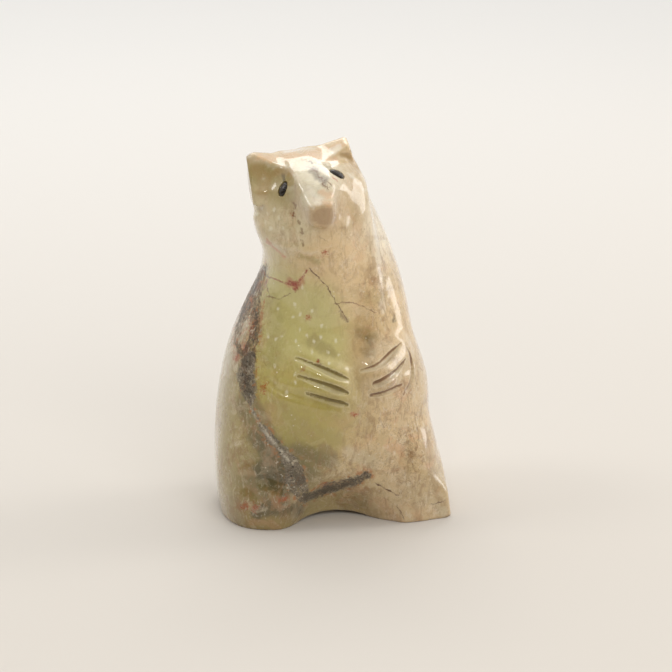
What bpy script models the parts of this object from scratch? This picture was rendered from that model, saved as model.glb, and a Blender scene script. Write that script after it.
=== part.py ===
"""A seated bear carved from one block of veined soapstone, with two inlaid eyes.

The bear faces -Y and +Z is up. The origin is on the floor under the middle of the carving.
The carving is free form, so it is laid out in 125ths of its own height: at the real height of
125 mm each number of the layout is a millimetre. The eyes have sizes of their own, and their
sockets follow from them.
"""
import math

import bmesh
import bpy
import numpy as np
from mathutils import Euler, Matrix, Vector

HEIGHT = 0.125                # what the layout is drawn for: the left ear ends within 0.5 mm of it
SHARE = HEIGHT / 125.0        # one unit of the layout

EYE_WIDTH = 0.0031
EYE_LENGTH = 0.0048
EYE_THICKNESS = 0.0018
EYE_PROUD = 0.0005            # how far an eye stands out of the cheek
EYE_GAP = 0.0003              # between an eye and the wall of its socket

EVEN = 1.7                    # size of the faces that the carving settles with
KEPT = 0.29                   # share of them that is left where the surface is plain

# The torso: height, middle x, middle y, half width, half depth, squareness of the section
TORSO = (
    (-8.0, -1.4, 3.0, 37.0, 27.0, 2.7),
    (12.0, -3.0, 2.5, 37.4, 26.5, 2.6),
    (28.0, -4.4, 1.5, 36.1, 26.0, 2.5),
    (45.0, -4.1, 1.0, 34.7, 25.0, 2.4),
    (60.0, -4.4, 1.5, 30.4, 22.5, 2.4),
    (72.0, -3.0, 2.5, 26.0, 20.0, 2.4),
    (84.0, -2.2, 3.0, 20.6, 17.5, 2.4),
    (96.0, -4.0, 3.0, 16.0, 15.0, 2.4),
    (106.0, -6.0, 2.0, 13.0, 12.0, 2.4),
)

HEAD = (-10.6, -2.0, 110.4)   # where the head's own axes meet
HEAD_TURN = (18.0, -6.0, 1.0)    # it looks down, leans to its right and looks a little to its left

# An eye: a point near it and the run of its long side, both in the head's axes
RIGHT_EYE = ((-9.2, -6.6, 4.9), (0.38, 0.46, 0.78))
LEFT_EYE = ((7.9, -9.2, 9.0), (0.86, -0.44, -0.32))

# The cuts between the claws and round the left paw: x, height and radius along each, from the front
CLAW_CUTS = (
    ((-18.8, 58.6, 0.4), (-14.0, 56.7, 0.8), (-9.0, 54.6, 1.4), (-3.2, 52.0, 1.5)),
    ((-18.6, 53.2, 0.4), (-13.5, 51.5, 1.0), (-9.0, 50.0, 1.5), (-3.5, 47.6, 1.5)),
    ((-16.4, 47.8, 0.4), (-12.0, 46.2, 1.1), (-8.0, 45.0, 1.3), (-3.5, 43.5, 1.2)),
    ((1.8, 54.0, 0.4), (6.9, 55.6, 1.1), (11.2, 57.1, 1.5), (17.0, 59.9, 0.9)),
    ((6.0, 49.9, 1.4), (10.6, 51.6, 1.6), (14.6, 52.6, 1.4), (18.2, 55.2, 0.5)),
    ((4.6, 45.9, 0.5), (8.0, 46.1, 1.2), (12.0, 46.5, 1.2), (16.4, 47.2, 0.5)),
    ((19.4, 58.0, 0.4), (21.0, 53.8, 0.8), (21.2, 49.8, 0.9), (19.8, 46.3, 0.8), (16.8, 43.8, 0.4)),
)


def smooth_min(a, b, k):
    h = np.clip(0.5 + 0.5 * (b - a) / k, 0.0, 1.0)
    return b * (1 - h) + a * h - k * h * (1 - h)


def smooth_max(a, b, k):
    return -smooth_min(-a, -b, k)


def rotation(turn):
    return np.array(Euler([math.radians(t) for t in turn]).to_matrix())


def turned(p, centre, turn):
    """Points in the axes of a form that is turned about its centre."""
    return (p - np.array(centre)) @ rotation(turn)


def ellipsoid(p, centre, radii, turn=(0, 0, 0)):
    q = turned(p, centre, turn)
    r = np.array(radii)
    near = np.linalg.norm(q / r, axis=1)
    steep = np.linalg.norm(q / r ** 2, axis=1)
    return near * (near - 1.0) / np.maximum(steep, 1e-9)


def boxy(p, centre, radii, power):
    """A form between an ellipsoid (power 2) and a box."""
    q = np.abs(p - np.array(centre)) / np.array(radii)
    return (np.sum(q ** power, axis=1) ** (1 / power) - 1.0) * min(radii)


def capsule(p, start, end, r_start, r_end):
    a, b = np.array(start), np.array(end)
    along = np.clip((p - a) @ (b - a) / np.dot(b - a, b - a), 0.0, 1.0)
    return np.linalg.norm(p - a - along[:, None] * (b - a), axis=1) - (r_start + (r_end - r_start) * along)


def face(p, point, out):
    """Height above a plane through a point, with its outward direction."""
    n = np.array(out, float)
    return (p - np.array(point)) @ (n / np.linalg.norm(n))


def faceted(sides, k):
    """The solid inside all of the planes, with its edges rounded."""
    f = sides[0]
    for side in sides[1:]:
        f = smooth_max(f, side, k)
    return f


def smooth_table(z, at, values):
    """Cubic interpolation with slopes from the neighbours."""
    slope = np.gradient(values, at)
    i = np.clip(np.searchsorted(at, z) - 1, 0, len(at) - 2)
    h = at[i + 1] - at[i]
    t = (z - at[i]) / h
    return ((2 * t ** 3 - 3 * t ** 2 + 1) * values[i] + (t ** 3 - 2 * t ** 2 + t) * h * slope[i]
            + (-2 * t ** 3 + 3 * t ** 2) * values[i + 1] + (t ** 3 - t ** 2) * h * slope[i + 1])


def torso(p):
    table = np.array(TORSO)
    z = np.clip(p[:, 2], table[0, 0], table[-1, 0])
    cx, cy, rx, ry, n = (smooth_table(z, table[:, 0], table[:, i]) for i in range(1, 6))
    section = ((np.abs(p[:, 0] - cx) / rx) ** n + (np.abs(p[:, 1] - cy) / ry) ** n) ** (1 / n)
    side = (section - 1.0) * np.minimum(rx, ry)
    return smooth_max(side, p[:, 2] - table[-1, 0], 6.0)


def head(p):
    """The head in its own axes: x to its left, -y to the nose, z to the crown."""
    q = turned(p, HEAD, HEAD_TURN)
    skull = faceted([
        face(q, (0, 0, 9.8), (0, -0.02, 1)),
        face(q, (0, 0, 10.2), (0, 0.22, 1)),
        face(q, (0, 0, -12), (0, 0, -1)),
        face(q, (0, 11.5, 0), (0, 1, 0.40)),
        face(q, (-17.2, 2, 3), (-0.80, -0.56, 0.16)),
        face(q, (-17.8, 4, 0), (-0.98, 0.18, -0.05)),
        face(q, (17.0, 4, 0), (0.95, 0.30, -0.05)),
        face(q, (-17.2, 2, -7), (-0.88, 0, -0.47)),
        face(q, (17.0, 2, -7), (0.88, 0, -0.47)),
        face(q, (0, -18, 0), (0.2, -1, 0.1)),
    ], 3.0)
    # the left cheek falls away softly from the brow
    skull = smooth_max(skull, face(q, (10.8, -9, 8.8), (0.79, -0.43, 0.44)), 5.0)
    # the ears are corners of the crown that rise to a point
    skull = smooth_min(skull, faceted([
        face(q, (-18.6, 4.2, 13.5), (0.40, 0, 0.92)),
        face(q, (-18.5, 4, 13), (-0.985, 0.17, -0.075)),
        face(q, (-18, 7.2, 12), (-0.1, 0.9, 0.43)),
        face(q, (-14, 4, -2), (0.5, -0.2, -0.9)),
        face(q, (-18, -1.5, 8), (-0.2, -0.9, 0.25)),
    ], 0.8), 1.2)
    skull = smooth_min(skull, faceted([
        face(q, (15.0, 4.8, 12.4), (-0.36, 0, 0.93)),
        face(q, (15.6, 4.8, 12), (0.92, -0.1, 0.28)),
        face(q, (15, 7.4, 11.5), (0.1, 0.9, 0.43)),
        face(q, (12, 4, 2), (-0.3, -0.2, -0.9)),
        face(q, (15, -0.5, 8), (0.1, -0.9, 0.35)),
    ], 0.8), 1.4)
    # the right cheek is scooped out below its ear
    skull = smooth_max(skull, -capsule(q, (-17.0, -8.0, 14.5), (-14.0, -26.0, 9.0), 12.4, 8.5), 0.9)
    # the muzzle narrows to a flat oval nose, with the chin below it
    muzzle = smooth_max(boxy(q, (-0.6, -8, 3.8), (8.8, 18.2, 6.4), 3.0), face(q, (0, -23.2, 5), (0, -1, 0.02)), 1.0)
    for side, k in ((-1, 1.4), (1, 3.0)):
        muzzle = smooth_max(muzzle, face(q, (side * 5.4, 0, 9), (side * 0.93, 0, 0.36)), k)
        muzzle = smooth_max(muzzle, face(q, (side * 4.6 - 0.6, -23, 3), (side * 0.97, -0.25, 0)), k + 0.4)
    chin = ellipsoid(q, (-0.6, -8.5, -6.5), (9.0, 14.8, 11.5))
    muzzle = smooth_max(smooth_min(muzzle, chin, 2.5), face(q, (0, -8, 9.4), (0, -0.16, 0.99)), 1.2)
    return smooth_min(skull, muzzle, 3.5)


def carving(p):
    """The whole carving without its cuts: below zero inside the stone, above zero outside."""
    f = torso(p)
    # haunches, the right foot and the left foot
    f = smooth_min(f, ellipsoid(p, (-24.8, -5, 14), (14.8, 14, 26)), 6)
    f = smooth_min(f, ellipsoid(p, (-27.2, -10, 8.5), (12.4, 12, 14.5)), 3)
    f = smooth_min(f, ellipsoid(p, (20, -9, 10), (12, 17, 24)), 6)
    f = smooth_min(f, faceted([
        face(p, (33.6, 0, 0), (1, 0, 0.12)),
        face(p, (26, -25.2, 0), (-0.05, -1, 0.22)),
        face(p, (24, 0, 22), (0.50, -0.35, 1)),
        face(p, (12, 0, 0), (-1, -0.2, 0.2)),
        face(p, (0, 16, 0), (0.3, 1, 0.3)),
    ], 2.5), 6)
    # belly
    f = smooth_min(f, ellipsoid(p, (-3, -9, 40), (25, 17, 24)), 8)
    # shoulder and back, up to the ear
    f = smooth_min(f, ellipsoid(p, (5.6, 9, 74), (16.8, 15, 33), (0, -10, 0)), 8)
    f = smooth_min(f, capsule(p, (1.0, 3, 113), (7.5, 6, 88), 7.0, 8.5), 6)
    # neck and throat
    f = smooth_min(f, ellipsoid(p, (-7.5, -3, 92), (15.5, 17, 24)), 5)
    f = smooth_min(f, capsule(p, (-10.5, 1, 107), (-5, 6, 84), 13.0, 14.0), 8)
    f = smooth_min(f, ellipsoid(p, (-12.5, -1, 100), (14.4, 14, 15)), 3)
    f = smooth_min(f, capsule(p, (-10, -10.5, 98), (-7, -5, 76), 10.8, 14), 5)
    # the soft edge down the left side of the throat
    f = smooth_min(f, capsule(p, (3.0, -6.0, 110), (7.0, -13.0, 66), 5.0, 2.5), 6)
    f = smooth_min(f, head(p), 2.0)
    # forearms
    f = smooth_min(f, capsule(p, (-23.5, -7.8, 57.0), (-7, -21.2, 49.6), 8.2, 7.2), 2.0)
    f = smooth_min(f, capsule(p, (14, -13, 56), (7.5, -20.8, 51), 7.0, 7), 2.5)
    # hollow between the legs
    f = smooth_max(f, -ellipsoid(p, (-6.0, -38, -6), (21.5, 26, 27)), 4)
    # it ends a little below the floor, where the flat base is cut
    return smooth_max(f, -4.0 - p[:, 2], 2)


def slope_of(field, p, step=0.05):
    g = np.empty_like(p)
    for axis in range(3):
        d = np.zeros(3)
        d[axis] = step
        g[:, axis] = (field(p + d) - field(p - d)) / (2 * step)
    return g


def settle(mesh, field, rounds):
    """Draw a mesh onto the surface where the field is zero, keeping its faces even."""
    flat = np.empty(len(mesh.vertices) * 3, np.float32)
    mesh.vertices.foreach_get("co", flat)
    p = flat.reshape(-1, 3).astype(float)
    ends = np.empty(len(mesh.edges) * 2, np.int32)
    mesh.edges.foreach_get("vertices", ends)
    ends = ends.reshape(-1, 2)
    count = np.bincount(ends.ravel(), minlength=len(p))[:, None]
    for _ in range(rounds):
        mean = np.zeros_like(p)
        np.add.at(mean, ends[:, 0], p[ends[:, 1]])
        np.add.at(mean, ends[:, 1], p[ends[:, 0]])
        g = slope_of(field, p)
        steep = np.maximum(np.linalg.norm(g, axis=1, keepdims=True), 1e-6)
        n = g / steep
        drift = (mean / count - p) * 0.5
        p = p + drift - n * (drift * n).sum(1, keepdims=True)
        p = p - n * np.clip(field(p)[:, None] / steep, -2.0, 2.0)
    mesh.vertices.foreach_set("co", p.astype(np.float32).ravel())
    mesh.update()


def seat(field, near, rounds=12):
    """The point of the surface nearest to a point, and the way out of the stone there."""
    p = np.array([near], float)
    for _ in range(rounds):
        g = slope_of(field, p)
        p = p - g * (field(p) / (g ** 2).sum(1))[:, None]
    g = slope_of(field, p)[0]
    return p[0], g / np.linalg.norm(g)


def front(x, z):
    """The front of the stone at a place seen from the front."""
    y = np.arange(-45.0, 10.0, 0.05)
    f = carving(np.stack([np.full_like(y, x), y, np.full_like(y, z)], axis=1))
    return Vector((x, float(y[np.argmax(f < 0)]), z))


def collection(name):
    made = bpy.data.collections.new(name)
    bpy.context.scene.collection.children.link(made)
    return made


def put(name, mesh, where):
    obj = bpy.data.objects.new(name, mesh)
    where.objects.link(obj)
    return obj


def material(name, colour, roughness):
    mat = bpy.data.materials.new(name)
    mat.use_nodes = True
    shader = mat.node_tree.nodes["Principled BSDF"]
    shader.inputs["Base Color"].default_value = (*colour, 1.0)
    shader.inputs["Roughness"].default_value = roughness
    shader.inputs["Metallic"].default_value = 0.0
    return mat


def apply_modifiers(obj):
    """Replace an object's mesh with what its modifiers make of it."""
    bpy.context.view_layer.update()
    made = bpy.data.meshes.new_from_object(obj.evaluated_get(bpy.context.evaluated_depsgraph_get()))
    obj.modifiers.clear()
    obj.data = made


def blank(where):
    """A rough stack of spheres, close to the carving, for the stone to settle from."""
    bm = bmesh.new()

    def ball(centre, radii):
        bmesh.ops.create_uvsphere(bm, u_segments=24, v_segments=16, radius=1.0,
                                  matrix=Matrix.Translation(centre) @ Matrix.Diagonal((*radii, 1)))

    for z, x, y, wide, deep, _ in TORSO:
        ball((x, y, z), (wide, deep, 12))
    x, y, z = HEAD
    ball((x, y, z), (16, 13, 11))
    ball((x + 1, y - 15, z - 6), (7, 12, 9))
    ball((x - 15, y + 6, z + 6), (4, 4, 5))
    ball((x + 14, y + 6, z + 11), (4, 4, 6))
    mesh = bpy.data.meshes.new("stone")
    bm.to_mesh(mesh)
    bm.free()
    return put("bear_body", mesh, where)


def even_faces(obj, size):
    remesh = obj.modifiers.new("even faces", "REMESH")
    remesh.mode = "VOXEL"
    remesh.voxel_size = size
    apply_modifiers(obj)


def claw_cutter(number, stroke, where):
    """A round cut of changing width, drawn on the front of the stone."""
    curve = bpy.data.curves.new(f"claw_cut_{number}", "CURVE")
    curve.dimensions = "3D"
    curve.bevel_depth = SHARE
    curve.bevel_resolution = 2
    curve.use_fill_caps = True
    spline = curve.splines.new("POLY")
    x, z, r = (np.array(column) for column in zip(*stroke))
    at = np.arange(len(x), dtype=float)
    steps = np.linspace(0, len(x) - 1, 3 * len(x))
    spline.points.add(len(steps) - 1)
    for point, t in zip(spline.points, steps):
        t = np.array([t])
        radius = float(smooth_table(t, at, r)[0])
        middle = front(float(smooth_table(t, at, x)[0]), float(smooth_table(t, at, z)[0]))
        middle.y -= 0.25 * radius
        point.co = (*(middle * SHARE), 1.0)
        point.radius = radius
    tube = put("tube", curve, where)
    bpy.context.view_layer.update()
    mesh = bpy.data.meshes.new_from_object(tube.evaluated_get(bpy.context.evaluated_depsgraph_get()))
    bpy.data.objects.remove(tube)
    return put(f"claw_cut_{number}", closed(mesh), where)


def closed(mesh):
    """Weld a tube's loose caps to it."""
    bm = bmesh.new()
    bm.from_mesh(mesh)
    bmesh.ops.remove_doubles(bm, verts=bm.verts, dist=1e-6)
    bmesh.ops.recalc_face_normals(bm, faces=bm.faces)
    bm.to_mesh(mesh)
    bm.free()
    return mesh


def oval(name, where, place, half_width, half_length, half_thickness):
    bm = bmesh.new()
    bmesh.ops.create_uvsphere(bm, u_segments=20, v_segments=10, radius=1.0,
                              matrix=Matrix.Diagonal((half_width, half_length, half_thickness, 1)))
    mesh = bpy.data.meshes.new(name)
    bm.to_mesh(mesh)
    bm.free()
    mesh.shade_smooth()
    obj = put(name, mesh, where)
    obj.matrix_world = place
    return obj


def eye_place(near, along):
    """Where an eye sits: its thickness along the way out of the stone, its length along the given run."""
    turn = rotation(HEAD_TURN)
    point, out = seat(carving, np.array(HEAD) + turn @ np.array(near))
    out = Vector(out)
    long = Vector(turn @ np.array(along))
    long = (long - out * long.dot(out)).normalized()
    axes = Matrix((long.cross(out), long, out)).transposed().to_4x4()
    centre = Vector(point) * SHARE + out * (EYE_PROUD - EYE_THICKNESS / 2)
    return Matrix.Translation(centre) @ axes


def cut(obj, cutter):
    boolean = obj.modifiers.new(cutter.name, "BOOLEAN")
    boolean.operation = "DIFFERENCE"
    boolean.solver = "EXACT"
    boolean.object = cutter


def block(name, where, centre, size):
    bm = bmesh.new()
    bmesh.ops.create_cube(bm, size=1.0, matrix=Matrix.Translation(Vector(centre) * SHARE)
                          @ Matrix.Diagonal((*(Vector(size) * SHARE), 1)))
    mesh = bpy.data.meshes.new(name)
    bm.to_mesh(mesh)
    bm.free()
    return put(name, mesh, where)


def middle_of(obj):
    """The middle of an object's box in x and y, as its modifiers leave it."""
    bpy.context.view_layer.update()
    seen = obj.evaluated_get(bpy.context.evaluated_depsgraph_get())
    corners = [Vector(corner) for corner in seen.bound_box]
    return tuple((min(c[axis] for c in corners) + max(c[axis] for c in corners)) / 2 for axis in (0, 1))


def main():
    for obj in list(bpy.data.objects):
        bpy.data.objects.remove(obj)
    bear = collection("soapstone_bear")
    cutters = collection("cutters")

    # the stone, settled onto the carving and thinned out where it is plain
    body = blank(bear)
    even_faces(body, 2.5)
    settle(body.data, carving, 14)
    even_faces(body, EVEN)
    settle(body.data, carving, 8)
    thin = body.modifiers.new("plain where plain", "DECIMATE")
    thin.ratio = KEPT
    thin.use_collapse_triangulate = True
    apply_modifiers(body)
    body.data.transform(Matrix.Scale(SHARE, 4))
    body.data.materials.clear()
    body.data.materials.append(material("veined_soapstone", (0.40, 0.31, 0.16), 0.22))
    body.data.shade_smooth()

    # the eyes, and all that is cut out of the stone
    floor = block("floor_cut", cutters, (0, 0, -10), (140, 140, 20))
    cuts = [oval("arch_cut", cutters, Matrix.Translation(Vector((-5, -13, -5.9)) * SHARE),
                 22 * SHARE, 16 * SHARE, 7.5 * SHARE)]
    cuts += [claw_cutter(number + 1, stroke, cutters) for number, stroke in enumerate(CLAW_CUTS)]
    eyes = []
    stone = material("eye_stone", (0.012, 0.011, 0.010), 0.10)
    half = (EYE_WIDTH / 2, EYE_LENGTH / 2, EYE_THICKNESS / 2)
    for name, (near, along) in (("right_eye", RIGHT_EYE), ("left_eye", LEFT_EYE)):
        place = eye_place(near, along)
        eyes.append(oval(name, bear, place, *half))
        eyes[-1].data.materials.append(stone)
        cuts.append(oval(f"{name}_socket", cutters, place, *(h + EYE_GAP for h in half)))

    # everything hangs from one frame, which puts the middle of the carving at the origin
    cut(body, floor)
    x, y = middle_of(body)
    frame = bpy.data.objects.new("frame", None)
    frame.empty_display_size = HEIGHT / 4
    bear.objects.link(frame)
    frame.location = (-x, -y, 0)
    for obj in (body, floor, *cuts, *eyes):
        obj.parent = frame
    for cutter in (floor, *cuts):
        cutter.hide_render = True
        cutter.display_type = "WIRE"
    for cutter in cuts:
        cut(body, cutter)


if __name__ == "__main__":
    main()
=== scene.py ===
"""A seated bear carved from veined soapstone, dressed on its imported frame.

The stone is worked out again as a fine mesh on the same form as the solid, in units of 1 mm. The
marks of the stone are placed by where they show in the photograph, in its pixels, and carried from
there along the line of sight onto the surface.
"""
import math

import bmesh
import bpy
import numpy as np
from mathutils import Euler, Matrix, Vector


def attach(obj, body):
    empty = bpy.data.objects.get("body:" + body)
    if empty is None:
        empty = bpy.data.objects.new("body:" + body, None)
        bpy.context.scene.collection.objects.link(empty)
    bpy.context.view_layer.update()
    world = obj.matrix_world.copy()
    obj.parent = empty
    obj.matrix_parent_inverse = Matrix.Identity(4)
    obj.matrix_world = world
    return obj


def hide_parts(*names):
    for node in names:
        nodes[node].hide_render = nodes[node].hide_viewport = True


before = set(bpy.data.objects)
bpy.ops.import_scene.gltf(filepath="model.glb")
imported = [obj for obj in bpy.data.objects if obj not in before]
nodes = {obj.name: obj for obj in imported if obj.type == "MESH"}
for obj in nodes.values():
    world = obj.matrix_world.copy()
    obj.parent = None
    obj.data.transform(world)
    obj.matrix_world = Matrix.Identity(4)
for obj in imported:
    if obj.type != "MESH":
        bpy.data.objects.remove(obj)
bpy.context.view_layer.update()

MIDDLE = np.array((-2.712, 0.643, 0.0))   # the middle of the carving in its layout
VOXEL = 0.62                              # size of the fine faces
GAP = 0.3                                 # between an eye and its socket
EYE_NODES = ("right_eye", "left_eye")
EYE_REACHES = (4.2, 3.4)                  # faces this near an eye are split, once for each
SETTLING = 6                              # rounds that draw the fine mesh onto the carving
WARM_WHITE = (1.0, 0.985, 0.96)
LAMPS_AIM = (0, 0, 0.06)

# The camera of the photograph
AZIMUTH, ELEVATION, DISTANCE = -15.0, 17.0, 0.7
LENS, SENSOR, PIXELS = 112.5, 36.0, 672
TARGET = (0.002712, -0.000643, 0.0585)

# The torso: height, middle x, middle y, half width, half depth, squareness of the section
TORSO = (
    (-8.0, -1.4, 3.0, 37.0, 27.0, 2.7),
    (12.0, -3.0, 2.5, 37.4, 26.5, 2.6),
    (28.0, -4.4, 1.5, 36.1, 26.0, 2.5),
    (45.0, -4.1, 1.0, 34.7, 25.0, 2.4),
    (60.0, -4.4, 1.5, 30.4, 22.5, 2.4),
    (72.0, -3.0, 2.5, 26.0, 20.0, 2.4),
    (84.0, -2.2, 3.0, 20.6, 17.5, 2.4),
    (96.0, -4.0, 3.0, 16.0, 15.0, 2.4),
    (106.0, -6.0, 2.0, 13.0, 12.0, 2.4),
)
HEAD = (-10.6, -2.0, 110.4)
HEAD_TURN = (18.0, -6.0, 1.0)

# The cuts between the claws and round the left paw: x, height and radius along each, from the front
CLAW_CUTS = (
    ((-18.8, 58.6, 0.4), (-14.0, 56.7, 0.8), (-9.0, 54.6, 1.4), (-3.2, 52.0, 1.5)),
    ((-18.6, 53.2, 0.4), (-13.5, 51.5, 1.0), (-9.0, 50.0, 1.5), (-3.5, 47.6, 1.5)),
    ((-16.4, 47.8, 0.4), (-12.0, 46.2, 1.1), (-8.0, 45.0, 1.3), (-3.5, 43.5, 1.2)),
    ((1.8, 54.0, 0.4), (6.9, 55.6, 1.1), (11.2, 57.1, 1.5), (17.0, 59.9, 0.9)),
    ((6.0, 49.9, 1.4), (10.6, 51.6, 1.6), (14.6, 52.6, 1.4), (18.2, 55.2, 0.5)),
    ((4.6, 45.9, 0.5), (8.0, 46.1, 1.2), (12.0, 46.5, 1.2), (16.4, 47.2, 0.5)),
    ((19.4, 58.0, 0.4), (21.0, 53.8, 0.8), (21.2, 49.8, 0.9), (19.8, 46.3, 0.8), (16.8, 43.8, 0.4)),
)
CUT_WIDTH = 0.72                          # the fine cuts are this much narrower than the solid's
CUT_TIP = 0.35                            # share of its width that a cut keeps at its last point
CUT_TAPER = 0.5                           # share of its last stretch over which it narrows to that
CUT_SINK = 0.10                           # how deep its middle lies, as a share of its radius
CUT_STEPS = 8                             # points for each point of its list
CUTS_LOW, CUTS_HIGH = 36.0, 68.0          # the heights between which the cuts lie
CUTS_BACK = 2.0                           # how far back they may reach
NO_CUT = 50.0                             # the distance that stands for no cut near
FRONT_SEARCH = (-45.0, 10.0, 0.05)        # where the front of the stone is looked for, from, to and step


def smooth_min(a, b, k):
    h = np.clip(0.5 + 0.5 * (b - a) / k, 0.0, 1.0)
    return b * (1 - h) + a * h - k * h * (1 - h)


def smooth_max(a, b, k):
    return -smooth_min(-a, -b, k)


def rotation(turn):
    return np.array(Euler([math.radians(t) for t in turn]).to_matrix())


def turned(p, centre, turn):
    return (p - np.array(centre)) @ rotation(turn)


def oval_field(q, radii):
    near = np.linalg.norm(q / radii, axis=1)
    steep = np.linalg.norm(q / radii ** 2, axis=1)
    return near * (near - 1.0) / np.maximum(steep, 1e-9)


def ellipsoid(p, centre, radii, turn=(0, 0, 0)):
    return oval_field(turned(p, centre, turn), np.array(radii))


def boxy(p, centre, radii, power):
    q = np.abs(p - np.array(centre)) / np.array(radii)
    return (np.sum(q ** power, axis=1) ** (1 / power) - 1.0) * min(radii)


def capsule(p, start, end, r_start, r_end):
    a, b = np.array(start), np.array(end)
    along = np.clip((p - a) @ (b - a) / np.dot(b - a, b - a), 0.0, 1.0)
    return np.linalg.norm(p - a - along[:, None] * (b - a), axis=1) - (r_start + (r_end - r_start) * along)


def face(p, point, out):
    n = np.array(out, float)
    return (p - np.array(point)) @ (n / np.linalg.norm(n))


def faceted(sides, k):
    f = sides[0]
    for side in sides[1:]:
        f = smooth_max(f, side, k)
    return f


def smooth_table(z, at, values):
    slope = np.gradient(values, at)
    i = np.clip(np.searchsorted(at, z) - 1, 0, len(at) - 2)
    h = at[i + 1] - at[i]
    t = (z - at[i]) / h
    return ((2 * t ** 3 - 3 * t ** 2 + 1) * values[i] + (t ** 3 - 2 * t ** 2 + t) * h * slope[i]
            + (-2 * t ** 3 + 3 * t ** 2) * values[i + 1] + (t ** 3 - t ** 2) * h * slope[i + 1])


def torso(p):
    table = np.array(TORSO)
    z = np.clip(p[:, 2], table[0, 0], table[-1, 0])
    cx, cy, rx, ry, n = (smooth_table(z, table[:, 0], table[:, i]) for i in range(1, 6))
    section = ((np.abs(p[:, 0] - cx) / rx) ** n + (np.abs(p[:, 1] - cy) / ry) ** n) ** (1 / n)
    side = (section - 1.0) * np.minimum(rx, ry)
    return smooth_max(side, p[:, 2] - table[-1, 0], 6.0)


def head(p):
    """The head in its own axes: x to its left, -y to the nose, z to the crown."""
    q = turned(p, HEAD, HEAD_TURN)
    skull = faceted([
        face(q, (0, 0, 9.8), (0, -0.02, 1)),
        face(q, (0, 0, 10.2), (0, 0.22, 1)),
        face(q, (0, 0, -12), (0, 0, -1)),
        face(q, (0, 11.5, 0), (0, 1, 0.40)),
        face(q, (-17.2, 2, 3), (-0.80, -0.56, 0.16)),
        face(q, (-17.8, 4, 0), (-0.98, 0.18, -0.05)),
        face(q, (17.0, 4, 0), (0.95, 0.30, -0.05)),
        face(q, (-17.2, 2, -7), (-0.88, 0, -0.47)),
        face(q, (17.0, 2, -7), (0.88, 0, -0.47)),
        face(q, (0, -18, 0), (0.2, -1, 0.1)),
    ], 3.0)
    # the left cheek falls away softly from the brow
    skull = smooth_max(skull, face(q, (10.8, -9, 8.8), (0.79, -0.43, 0.44)), 5.0)
    # the ears are corners of the crown that rise to a point
    skull = smooth_min(skull, faceted([
        face(q, (-18.6, 4.2, 13.5), (0.40, 0, 0.92)),
        face(q, (-18.5, 4, 13), (-0.985, 0.17, -0.075)),
        face(q, (-18, 7.2, 12), (-0.1, 0.9, 0.43)),
        face(q, (-14, 4, -2), (0.5, -0.2, -0.9)),
        face(q, (-18, -1.5, 8), (-0.2, -0.9, 0.25)),
    ], 0.6), 1.2)
    skull = smooth_min(skull, faceted([
        face(q, (15.0, 4.8, 12.4), (-0.36, 0, 0.93)),
        face(q, (15.6, 4.8, 12), (0.92, -0.1, 0.28)),
        face(q, (15, 7.4, 11.5), (0.1, 0.9, 0.43)),
        face(q, (12, 4, 2), (-0.3, -0.2, -0.9)),
        face(q, (15, -0.5, 8), (0.1, -0.9, 0.35)),
    ], 0.6), 1.4)
    # the right cheek is scooped out below its ear
    skull = smooth_max(skull, -capsule(q, (-17.0, -8.0, 14.5), (-14.0, -26.0, 9.0), 12.4, 8.5), 0.9)
    # the muzzle narrows to a flat oval nose, with the chin below it
    muzzle = boxy(q, (-0.6, -8, 3.8), (8.8, 18.2, 6.4), 3.0)
    muzzle = smooth_max(muzzle, face(q, (0, -23.2, 5), (0, -1, 0.02)), 1.0)
    for side, k in ((-1, 1.4), (1, 4.5)):
        muzzle = smooth_max(muzzle, face(q, (side * 5.4, 0, 9), (side * 0.93, 0, 0.36)), k)
        muzzle = smooth_max(muzzle, face(q, (side * 4.6 - 0.6, -23, 3), (side * 0.97, -0.25, 0)), k + 0.4)
    chin = ellipsoid(q, (-0.6, -8.5, -6.5), (9.0, 14.8, 11.5))
    muzzle = smooth_max(smooth_min(muzzle, chin, 2.5), face(q, (0, -8, 9.4), (0, -0.16, 0.99)), 1.2)
    return smooth_min(skull, muzzle, 4.0)


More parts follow.
